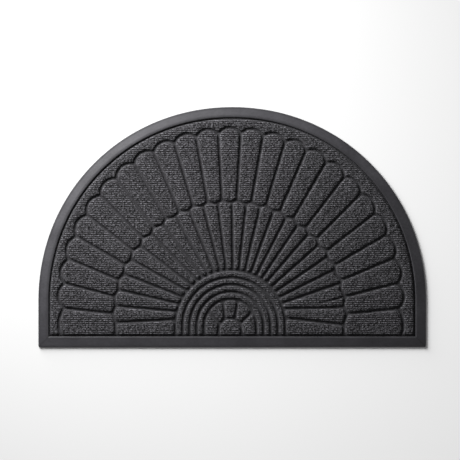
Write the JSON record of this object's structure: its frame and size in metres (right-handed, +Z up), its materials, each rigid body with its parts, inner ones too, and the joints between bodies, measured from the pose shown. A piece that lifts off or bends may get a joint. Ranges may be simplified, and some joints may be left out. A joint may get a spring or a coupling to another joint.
{
  "type": "half-round outdoor doormat",
  "caption": "Half-round outdoor doormat: bevelled moulded rubber backing with a ribbed carpet face embossed with a fan of petals, rays and arches.",
  "frame": {"origin": "on the underside, below the middle of the mat's box", "axes": "+X along the straight edge, +Y towards the round edge, +Z up through the carpet face"},
  "size_m": [0.985, 0.61, 0.0095],
  "materials": {
    "moulded_rubber": "dark grey moulded rubber with a soft satin sheen and a fine grain",
    "ribbed_carpet": "charcoal heather needle-punched carpet with fine ribs along the straight edge"
  },
  "bodies": {
    "root": {"rubber_backing": "moulded_rubber", "carpet_face": "ribbed_carpet"}
  },
  "joints": []
}
